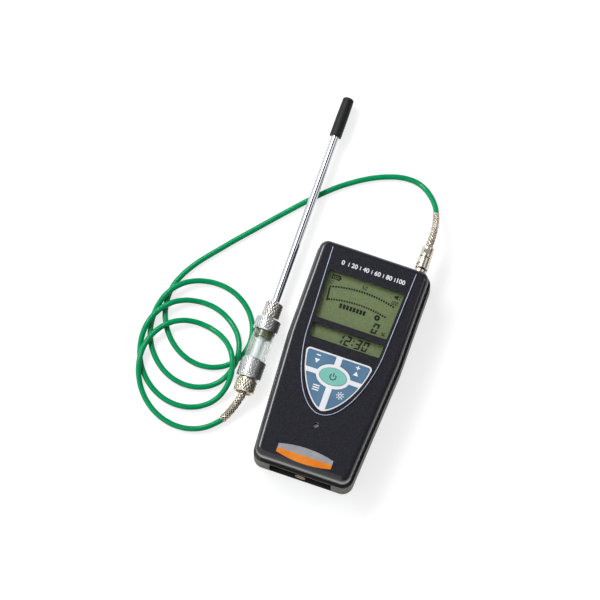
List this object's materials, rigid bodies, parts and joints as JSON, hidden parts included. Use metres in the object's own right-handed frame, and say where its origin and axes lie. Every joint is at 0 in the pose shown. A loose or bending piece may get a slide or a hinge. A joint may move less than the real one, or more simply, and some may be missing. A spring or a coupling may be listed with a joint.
{
  "type": "hand-held gas detector with sampling probe",
  "caption": "Hand-held gas detector lying on its back, with two displays and a shield of keys, a bayonet hose coupling, a looped sampling hose and a probe with a clear drain filter.",
  "frame": {"origin": "Centre of the meter's back face, which lies on the table.", "axes": "+X is the meter's right side, +Y its hose end, away from the battery cover, and +Z the way its face looks."},
  "size_m": [0.1854, 0.2763, 0.0366],
  "materials": {
    "front_plastic": "satin navy-black moulded plastic",
    "rear_plastic": "satin olive-grey moulded plastic",
    "black_rubber": "smooth black rubber",
    "grey_rubber": "translucent grey silicone",
    "olive_rubber": "olive rubber ring",
    "steel": "plain steel",
    "clear_window": "clear polished sheet",
    "clear_barrel": "clear polished tube",
    "display_glass": "olive-green reflective display",
    "white_plastic": "white moulded plastic",
    "board": "green laminate",
    "key_blue": "satin steel-blue key top",
    "key_mint": "satin mint key top",
    "brass": "turned brass",
    "contact": "plated spring strip",
    "label_grey": "grey printed film",
    "label_orange": "orange printed film",
    "black_plastic": "black moulded plastic",
    "cell": "sleeved cell can",
    "pump_plastic": "dark grey moulded plastic",
    "sensor_metal": "machined aluminium",
    "pale_tubing": "milky silicone tube",
    "nickel": "bright nickel plate",
    "warm_nickel": "worn nickel over brass, knurled",
    "chrome": "bright chrome plate",
    "braid": "braided tinned wire",
    "hose_green": "glossy green hose",
    "felt": "white filter felt"
  },
  "bodies": {
    "meter": {"front_case": "front_plastic", "rear_case": "rear_plastic", "case_gasket": "black_rubber", "case_screws": "steel", "display_window": "clear_window", "lcd_main": "display_glass", "lcd_small": "display_glass", "lcd_frame": "white_plastic", "main_board": "board", "key_mat": "grey_rubber", "key_plate": "white_plastic", "sounder": "brass", "label_upper": "label_grey", "label_lower": "label_orange", "battery_tray": "black_plastic", "battery_cells": "cell", "battery_contacts": "contact", "cover_insert": "brass", "pump_base": "pump_plastic", "pump_motor": "steel", "pump_diaphragm": "black_rubber", "pump_head": "pump_plastic", "sensor_block": "sensor_metal", "sensor_cell": "sensor_metal", "inner_tubes": "pale_tubing", "exhaust_fitting": "nickel", "inlet_socket": "nickel", "socket_seal": "black_rubber", "coupling_plug": "nickel", "hose_guard_meter": "braid", "hose_run": "hose_green", "hose_loops": "hose_green", "hose_guard_probe": "braid", "filter_rear_cap": "chrome", "filter_barrel": "clear_barrel", "filter_tube": "white_plastic", "filter_felt": "felt", "filter_seal": "olive_rubber"},
    "key_upper_left": {"key_upper_left": "key_blue"},
    "key_upper_right": {"key_upper_right": "key_blue"},
    "key_lower_left": {"key_lower_left": "key_blue"},
    "key_lower_right": {"key_lower_right": "key_blue"},
    "key_power": {"key_power": "key_mint"},
    "battery_cover": {"battery_cover": "black_plastic", "cover_contacts": "contact"},
    "cover_screw": {"cover_screw": "brass"},
    "pump_crank": {"pump_crank": "steel"},
    "coupling_collar": {"coupling_collar": "nickel"},
    "hose_nut": {"hose_nut": "warm_nickel"},
    "probe_front": {"filter_front_cap": "chrome", "probe_tube": "chrome", "probe_tip": "black_rubber"},
    "tube_nut": {"tube_nut": "warm_nickel"}
  },
  "joints": [
    {"name": "key_upper_left_press", "type": "slide", "parent": "meter", "child": "key_upper_left", "axis": [0, 0, -1], "range_m": [0, 0.0007], "stiffness_N_per_m": 1500},
    {"name": "key_upper_right_press", "type": "slide", "parent": "meter", "child": "key_upper_right", "axis": [0, 0, -1], "range_m": [0, 0.0007], "stiffness_N_per_m": 1500},
    {"name": "key_lower_left_press", "type": "slide", "parent": "meter", "child": "key_lower_left", "axis": [0, 0, -1], "range_m": [0, 0.0007], "stiffness_N_per_m": 1500},
    {"name": "key_lower_right_press", "type": "slide", "parent": "meter", "child": "key_lower_right", "axis": [0, 0, -1], "range_m": [0, 0.0007], "stiffness_N_per_m": 1500},
    {"name": "key_power_press", "type": "slide", "parent": "meter", "child": "key_power", "axis": [0, 0, -1], "range_m": [0, 0.0007], "stiffness_N_per_m": 1500},
    {"name": "battery_cover_slide", "type": "slide", "parent": "meter", "child": "battery_cover", "axis": [0, -1, 0], "range_m": [0, 0.03]},
    {"name": "cover_screw_turn", "type": "hinge", "parent": "battery_cover", "child": "cover_screw", "pos_m": [0, -0.0817, 0.0105], "axis": [0, -1, 0], "continuous": true},
    {"name": "pump_crank_spin", "type": "hinge", "parent": "meter", "child": "pump_crank", "pos_m": [-0.02, 0.05, 0.011], "axis": [0, 1, 0], "continuous": true},
    {"name": "coupling_collar_turn", "type": "hinge", "parent": "meter", "child": "coupling_collar", "pos_m": [0.032, 0.0914, 0.0197], "axis": [0, 1, 0], "range_deg": [-50, 0]},
    {"name": "hose_nut_turn", "type": "hinge", "parent": "meter", "child": "hose_nut", "pos_m": [-0.059, -0.0327, 0.009], "axis": [0, -1, 0], "range_deg": [0, 1000]},
    {"name": "front_cap_turn", "type": "hinge", "parent": "meter", "child": "probe_front", "pos_m": [-0.059, 0.0142, 0.009], "axis": [0, 1, 0], "range_deg": [0, 1000]},
    {"name": "tube_nut_turn", "type": "hinge", "parent": "probe_front", "child": "tube_nut", "pos_m": [-0.059, 0.0256, 0.009], "axis": [0, 1, 0], "range_deg": [0, 1000]}
  ]
}
